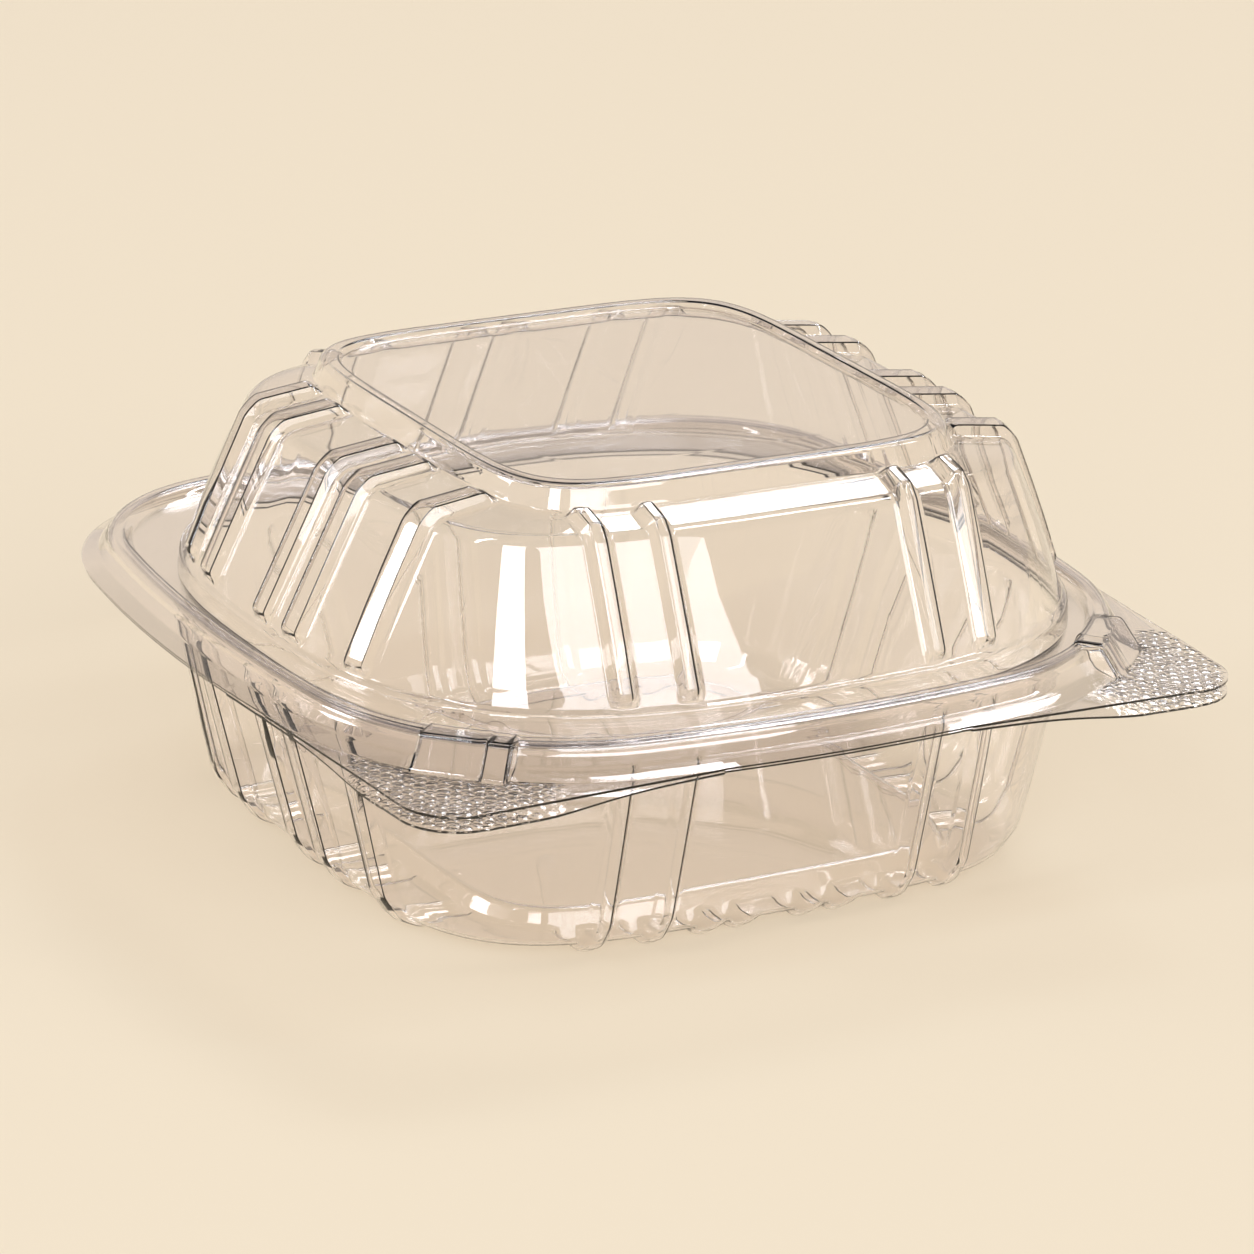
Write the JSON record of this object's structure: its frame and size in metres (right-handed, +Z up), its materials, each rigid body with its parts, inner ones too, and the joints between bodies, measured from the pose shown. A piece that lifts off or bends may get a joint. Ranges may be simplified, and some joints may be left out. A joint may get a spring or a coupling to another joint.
{
  "type": "plastic clamshell pack",
  "caption": "Clear thermoformed food pack: ribbed tub and domed ribbed lid with a raised window, rim bead, corner locks and grip tabs, hinged along the back.",
  "frame": {"origin": "bottom centre of the pack's box, on the surface it stands on", "axes": "+Z up, +Y towards the hinge at the back, +X across the pack; the grip tabs are at the two front corners (-Y)"},
  "size_m": [0.1524, 0.1503, 0.073],
  "materials": {
    "clear_sheet": "clear gloss thermoformed PET sheet"
  },
  "bodies": {
    "tub": {"base_tub": "clear_sheet"},
    "lid": {"hinged_lid": "clear_sheet"}
  },
  "joints": [
    {"name": "lid_hinge", "type": "hinge", "parent": "tub", "child": "lid", "pos_m": [0, 0.0757, 0.03617], "axis": [-1, 0, 0], "range_deg": [0, 175]}
  ]
}
